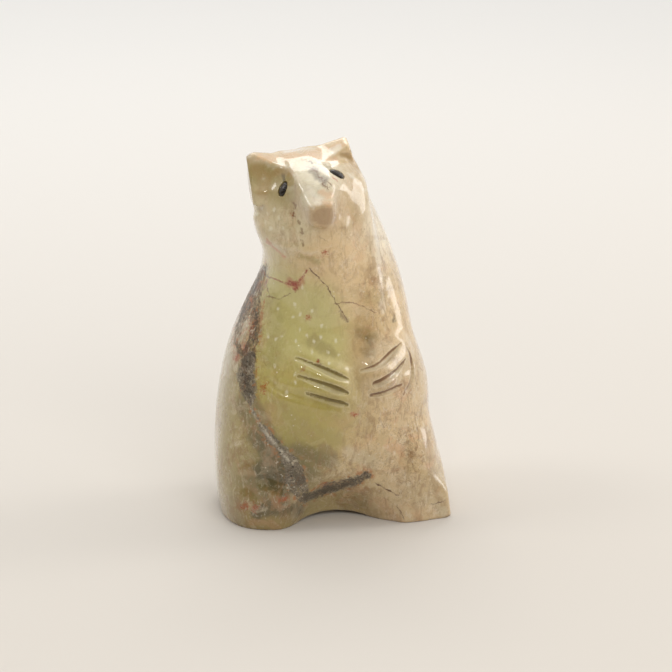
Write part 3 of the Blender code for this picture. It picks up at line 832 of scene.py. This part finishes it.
class Soapstone(Shader):
    """The bear's stone: its base colour, with each kind of mark laid over it in turn."""

    def __init__(self):
        super().__init__("veined_soapstone")
        self.at = self.place()
        self.tall = self.node("ShaderNodeVectorMath", {0: self.at, 1: (1.0, 1.0, 0.35)}, operation="MULTIPLY")
        self.middle = self.noise(self.at, 0.16, 6, 0.62, 0.8)
        self.fine = self.noise(self.at, 0.7, 5, 0.6, 0.3)
        self.grain = self.noise(self.at, 2.6, 3, 0.6)
        self.grit = self.noise(self.at, 1.2, 6, 0.78, 0.5)
        self.speck = self.noise(self.at, 1.9, 6, 0.8, 0.4)
        self.dark_lump = self.noise(self.at, 0.24, 4, 0.6, 0.5)
        self.ragged = self.plus(self.centred(self.fine, 9.0), self.centred(self.middle, 14.0))
        self.cloudy = self.attribute("cloudy")
        self.colour = self.attribute("base_colour", "Color")

    def cover(self, how_much, shade):
        self.colour = self.mix(how_much, self.colour, shade)

    def cloud(self, where, more, base, shade):
        """Covers the stone from base up to base and more, where it is cloudy."""
        self.cover(self.times(where, self.maths("MULTIPLY_ADD", self.cloudy, more, base)), shade)

    def clouds(self):
        """Cloudy cream, tan and darker olive, and wisps that run up the stone."""
        at, tall = self.at, self.tall
        self.cloud(self.step(self.middle, 0.50, 0.66), 0.42, 0.05, (222, 206, 176))
        self.cloud(self.step(self.noise(at, 0.20, 6, 0.65, 1.0), 0.50, 0.64), 0.55, 0.08, (150, 116, 76))
        self.cloud(self.step(self.noise(at, 0.045, 5, 0.6, 0.6), 0.50, 0.66), 0.20, 0.12, (138, 122, 68))
        self.cloud(self.step(self.noise(at, 0.10, 5, 0.6, 1.2), 0.52, 0.64), 0.35, 0.04, (206, 154, 116))
        self.cloud(self.step(self.noise(tall, 0.34, 6, 0.6, 1.2), 0.53, 0.62), 0.45, 0.10, (146, 112, 74))
        self.cloud(self.step(self.noise(tall, 0.5, 6, 0.65, 1.6), 0.56, 0.66), 0.34, 0.08, (232, 220, 196))
        self.cloud(self.step(self.fine, 0.56, 0.70), 0.25, 0.05, (230, 218, 194))
        self.cloud(self.step(self.grain, 0.56, 0.70), 0.36, 0.10, (116, 94, 62))

    def hair_cracks(self):
        """Squiggly hair cracks where it is cloudy, and thin veins all over, stronger behind."""
        hair = self.maths("ABSOLUTE", self.centred(self.noise(self.at, 0.46, 5, 0.6, 2.4)))
        hair = self.step(hair, 0.0, 0.032, 1.0, 0.0)
        hair = self.times(hair, self.step(self.noise(self.at, 0.16, 3), 0.46, 0.54))
        self.cloud(hair, 0.75, 0.0, (118, 86, 56))
        web = self.maths("ABSOLUTE", self.centred(self.noise(self.at, 0.055, 5, 0.55, 1.4)))
        web = self.step(web, 0.0, 0.010, 1.0, 0.0)
        web = self.times(web, self.step(self.attribute("behind"), 0, 1, 0.12, 0.5))
        web = self.times(web, self.step(self.noise(self.at, 0.05, 3), 0.45, 0.6))
        self.cover(web, (128, 98, 66))

    def rust_patches(self):
        rust = self.plus(self.attribute("rust"), self.centred(self.noise(self.at, 0.9, 6, 0.75, 0.6), 4.4))
        self.cover(self.times(self.step(rust, 0.0, 0.9, 1, 0), self.step(self.grain, 0.36, 0.56, 0.25, 0.9)),
                   (156, 66, 14))

    def brown_vein(self):
        """Dark, cream and rusty grains side by side down the right flank."""
        at = self.at
        self.brown = self.plus(self.attribute("brown"), self.ragged)
        gaps = self.step(self.noise(at, 0.38, 6, 0.75, 0.6), 0.40, 0.50, 0.3, 1)
        self.brown_in = self.times(self.step(self.brown, -0.8, 1.6, 1, 0), gaps)
        tone = self.mix(self.step(self.grit, 0.42, 0.60), (48, 34, 20), (146, 116, 78))
        cream = self.step(self.noise(self.tall, 0.55, 6, 0.7, 1.0), 0.54, 0.62, 0, 0.85)
        tone = self.mix(cream, tone, (212, 200, 176))
        tone = self.mix(self.step(self.noise(at, 0.42, 6, 0.7), 0.53, 0.62, 0, 0.8), tone, (176, 100, 46))
        tone = self.mix(self.step(self.dark_lump, 0.48, 0.58, 0, 0.75), tone, (58, 42, 26))
        self.cover(self.times(self.brown_in, 0.78), tone)

    def grey_vein(self):
        """Grey grains with a whitish middle, a dark arm and small pits."""
        at = self.at
        self.grey = self.plus(self.attribute("grey"), self.times(self.ragged, 0.75))
        gaps = self.step(self.noise(at, 0.45, 6, 0.75, 0.6), 0.38, 0.47, 0.4, 1)
        self.grey_in = self.times(self.step(self.grey, -0.8, 1.8, 1, 0), gaps)
        tone = self.mix(self.step(self.speck, 0.38, 0.62), (78, 68, 56), (158, 146, 128))
        tone = self.mix(self.step(self.middle, 0.46, 0.58, 0, 0.6), tone, (104, 90, 74))
        whitish = self.step(self.noise(at, 0.55, 5, 0.7, 0.8), 0.54, 0.64, 0, 0.85)
        tone = self.mix(whitish, tone, (196, 186, 164))
        rusty = self.step(self.noise(at, 0.50, 4, 0.7, 0.4), 0.58, 0.66, 0, 0.75)
        tone = self.mix(rusty, tone, (160, 106, 64))
        tone = self.mix(self.step(self.dark_lump, 0.50, 0.58, 0, 0.6), tone, (74, 64, 52))
        pale = self.step(self.plus(self.attribute("pale"), self.centred(self.fine, 6.0)), 0.2, 3.4, 0.9, 0)
        pale = self.times(pale, self.step(self.noise(at, 0.7, 5, 0.7), 0.42, 0.56))
        tone = self.mix(pale, tone, (212, 204, 186))
        uneven = self.plus(self.centred(self.fine, 10.0), self.centred(self.middle, 12.0))
        coal = self.step(self.plus(self.attribute("coal"), uneven), 2.0, 5.0, 0.9, 0)
        tone = self.mix(self.times(coal, self.step(self.speck, 0.46, 0.60, 1.0, 0.25)), tone, (50, 44, 40))
        self.pit_in = self.step(self.cells(at, 0.52), 0.12, 0.24, 1, 0)
        tone = self.mix(self.times(self.pit_in, 0.85), tone, (44, 38, 32))
        self.cover(self.times(self.grey_in, 0.88), tone)

    def vein_edges(self):
        """Rust along the edges of the veins."""
        edge = self.maths("MINIMUM", self.grey, self.brown)
        edge = self.times(self.step(edge, -0.5, 1.5), self.step(edge, 2.0, 6.0, 1, 0))
        edge = self.times(edge, self.step(self.noise(self.at, 0.4, 4, 0.7), 0.50, 0.62, 0, 0.8))
        self.cover(edge, (166, 108, 60))

    def red_marks(self):
        red = self.plus(self.attribute("red"), self.centred(self.noise(self.at, 1.1, 4), 3.0))
        self.cover(self.times(self.step(red, 0.1, 1.5, 0.85, 0), self.step(self.grain, 0.3, 0.55, 0.55, 1.0)),
                   (140, 34, 18))

    def crack(self, name, wobble, across, gaps):
        """A wobbly crack: across is how it fades to its sides, and gaps is how it comes and goes."""
        line = self.maths("ABSOLUTE", self.plus(self.attribute(name + "_side"), wobble))
        line = self.times(self.step(line, *across), self.step(self.attribute(name), 2.4, 3.4, 1, 0))
        return self.times(line, gaps)

    def cracks(self):
        """Thin brown cracks, and the crease by the mouth."""
        at = self.at
        wobble = self.centred(self.noise(at, 0.6, 6, 0.7), 6.0)
        self.crack_in = self.crack("crack", wobble, (0.25, 0.9, 0.9, 0),
                                   self.step(self.noise(at, 0.7, 3), 0.36, 0.56, 0.35, 1.0))
        self.cover(self.crack_in, (84, 46, 24))
        self.cover(self.crack("thin", wobble, (0.2, 0.9, 0.7, 0),
                              self.step(self.noise(at, 0.5, 3), 0.38, 0.56, 0.3, 1.0)), (112, 74, 48))
        crease = self.plus(self.attribute("crease"), self.centred(self.noise(at, 0.9, 4), 7.0))
        self.crease_in = self.step(crease, 0.4, 2.0, 0.65, 0)
        self.cover(self.crease_in, (124, 92, 58))

    def flecks(self):
        """Pale flecks, the ones that stand out and small ones between them."""
        fleck = self.plus(self.attribute("fleck"), self.centred(self.noise(self.at, 0.8, 3), 4.0))
        self.cover(self.step(fleck, 0.2, 2.2, 0.6, 0), (232, 226, 200))
        small = self.step(self.cells(self.at, 0.42), 0.06, 0.15, 1, 0)
        small = self.times(small, self.step(self.noise(self.at, 0.07, 2), 0.5, 0.62, 0, 0.6))
        self.cover(small, (228, 220, 200))

    def nose(self):
        # painted shade: the nose's front, which faces down, is painted a darker tan
        near = self.plus(self.attribute("nose"), self.centred(self.fine, 0.3))
        self.cover(self.step(near, 0.8, 1.08, 0.85, 0), (168, 140, 104))

    def cuts(self):
        """Painted highlight along their lips and painted light on the wall that faces up, painted shade on
        the wall that faces down.
        """
        cut = self.plus(self.attribute("cut"), self.centred(self.fine, 0.5))
        self.cut_in = self.step(cut, -0.1, 0.25, 1, 0)
        lip_highlight = self.times(self.step(cut, 0.1, 0.3), self.step(cut, 0.3, 0.9, 1, 0))
        # painted highlight along the lips of the cuts
        self.cover(self.times(lip_highlight, 0.24), (232, 222, 192))
        to_left = self.step(self.axis(self.at, "X"), 0.0, 8.0)
        up = self.axis(self.node("ShaderNodeNewGeometry", out="Normal"), "Z")
        inside = self.step(cut, 0.04, 0.34, 1, 0)
        # painted light on the wall that faces up
        self.cover(self.times(inside, self.step(up, 0.30, 0.60, 0, 0.35)), (226, 216, 180))
        # painted shade on the wall that faces down
        self.cover(self.times(inside, self.step(up, 0.0, 0.45, 0.85, 0.12)),
                   self.mix(to_left, (112, 94, 40), (112, 72, 38)))

    def polish(self):
        """A clear rubbed polish, which the grains of the veins take less of."""
        rough = self.plus(self.step(self.middle, 0.35, 0.7, 0.20, 0.34), self.times(self.grey_in, 0.22))
        self.surface("Roughness", self.plus(rough, self.times(self.plus(self.brown_in, self.cut_in), 0.14)))
        dull = self.plus(self.times(self.brown_in, -0.8), self.times(self.grey_in, -0.5))
        coat = self.node("ShaderNodeMath", {0: dull, 1: 1.0}, operation="ADD", use_clamp=True)
        self.surface("Coat Weight", coat)
        self.surface("Specular IOR Level", 0.3)
        self.surface("Coat Roughness", 0.045)
        self.surface("Subsurface Weight", 0.12)
        self.surface("Subsurface Radius", (1.0, 0.72, 0.42))
        self.surface("Subsurface Scale", 0.003)
        self.surface("IOR", 1.54)

    def roughened(self):
        """Hand-rubbed waviness, pits in the veins and along the cracks."""
        height = self.plus(self.times(self.middle, 0.12), self.times(self.fine, 0.03))
        pits = self.plus(self.times(self.pit_in, -0.3), self.times(self.speck, 0.2))
        height = self.plus(height, self.times(self.grey_in, pits))
        height = self.plus(height, self.times(self.times(self.brown_in, self.grit), 0.25))
        height = self.plus(height, self.times(self.crack_in, -0.05))
        height = self.plus(height, self.times(self.crease_in, -0.15))
        self.bump(height, 0.001, 0.75)


def soapstone():
    s = Soapstone()
    s.clouds()
    s.hair_cracks()
    s.rust_patches()
    s.brown_vein()
    s.grey_vein()
    s.vein_edges()
    s.red_marks()
    s.cracks()
    s.flecks()
    s.nose()
    s.cuts()
    s.surface("Base Color", s.colour)
    s.polish()
    s.roughened()
    return s.mat


def eye_stone():
    s = Shader("eye_stone")
    speck = s.noise(s.place(), 2.2, 4, 0.6)
    s.surface("Base Color", s.mix(s.step(speck, 0.5, 0.72), (30, 23, 18), (74, 60, 46)))
    s.surface("Roughness", s.step(speck, 0.4, 0.7, 0.22, 0.42))
    s.surface("Coat Weight", 0.12)
    s.surface("Coat Roughness", 0.06)
    s.bump(speck, 0.0002, 0.5)
    return s.mat


def floor_paper():
    s = Shader("pale_floor")
    # painted shade: the floor is painted darker towards the front and paler far back
    depth = s.step(s.axis(s.place(), "Y"), -320.0, 1500.0)
    s.surface("Base Color", s.mix(depth, (208, 202, 194), (255, 254, 252)))
    s.surface("Roughness", 0.75)
    s.surface("Specular IOR Level", 0.15)
    return s.mat


stone_mesh.materials.clear()
stone_mesh.materials.append(soapstone())
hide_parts("bear_body")
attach(stone_obj, "root")

dark = eye_stone()
for name, oval in zip(EYE_NODES, EYES):
    bm = bmesh.new()
    bmesh.ops.create_uvsphere(bm, u_segments=48, v_segments=24, radius=1.0)
    for vert in bm.verts:
        q = np.array(vert.co) * oval.half
        vert.co = Vector((oval.centre + q @ oval.axes - MIDDLE) / 1000)
    mesh = bpy.data.meshes.new(name + "_stone")
    bm.to_mesh(mesh)
    bm.free()
    mesh.shade_smooth()
    mesh.materials.append(dark)
    piece = bpy.data.objects.new(name + "_stone", mesh)
    bpy.context.scene.collection.objects.link(piece)
    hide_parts(name)
    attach(piece, "root")

# Floor, light and camera

bm = bmesh.new()
bmesh.ops.create_grid(bm, x_segments=8, y_segments=8, size=4.0)
mesh = bpy.data.meshes.new("floor")
bm.to_mesh(mesh)
bm.free()
mesh.materials.append(floor_paper())
floor = bpy.data.objects.new("floor", mesh)
bpy.context.scene.collection.objects.link(floor)


def lamp(name, place, size, power, tint, glossy=True):
    data = bpy.data.lights.new(name, "AREA")
    data.shape = "RECTANGLE"
    data.size, data.size_y = size
    data.energy = power
    data.color = tint
    obj = bpy.data.objects.new(name, data)
    obj.location = place
    obj.visible_glossy = glossy
    obj.rotation_euler = (Vector(LAMPS_AIM) - Vector(place)).to_track_quat("-Z", "Y").to_euler()
    bpy.context.scene.collection.objects.link(obj)


lamp("top_softbox", (0.10, 0.68, 0.92), (0.7, 0.26), 2.1, WARM_WHITE)
lamp("left_window", (-0.62, 0.10, 0.80), (0.24, 0.22), 1.1, (1.0, 0.99, 0.97))
lamp("right_window", (0.9, 0.02, 0.45), (0.28, 0.8), 2.2, (1.0, 0.98, 0.95))
lamp("small_lamp", (-0.42, -0.80, 0.85), (0.05, 0.05), 0.6, (1.0, 0.97, 0.92))
lamp("front_fill", (0.15, -1.1, 0.75), (0.9, 0.7), 6.0, WARM_WHITE, glossy=False)

# The room is bright overhead and behind, and dim in front
scene = bpy.context.scene
world = bpy.data.worlds.new("room")
scene.world = world
world.use_nodes = True
background = world.node_tree.nodes["Background"]
background.inputs["Color"].default_value = (*WARM_WHITE, 1.0)
coordinates = world.node_tree.nodes.new("ShaderNodeTexCoord")
direction = world.node_tree.nodes.new("ShaderNodeVectorMath")
direction.operation = "DOT_PRODUCT"
direction.inputs[1].default_value = (0.30, 0.70, 0.50)
strength = world.node_tree.nodes.new("ShaderNodeMapRange")
strength.interpolation_type = "SMOOTHSTEP"
strength.inputs["From Min"].default_value = -0.45
strength.inputs["From Max"].default_value = 0.55
strength.inputs["To Min"].default_value = 0.06
strength.inputs["To Max"].default_value = 1.02
world.node_tree.links.new(coordinates.outputs["Generated"], direction.inputs[0])
world.node_tree.links.new(direction.outputs["Value"], strength.inputs["Value"])
world.node_tree.links.new(strength.outputs["Result"], background.inputs["Strength"])

camera = bpy.data.objects.new("camera", bpy.data.cameras.new("camera"))
camera.data.lens = LENS
camera.data.sensor_width = SENSOR
camera.location = Vector(TARGET) + Vector(BACK) * DISTANCE
camera.rotation_euler = Vector(-BACK).to_track_quat("-Z", "Y").to_euler()
scene.collection.objects.link(camera)
scene.camera = camera
scene.view_settings.view_transform = "Standard"
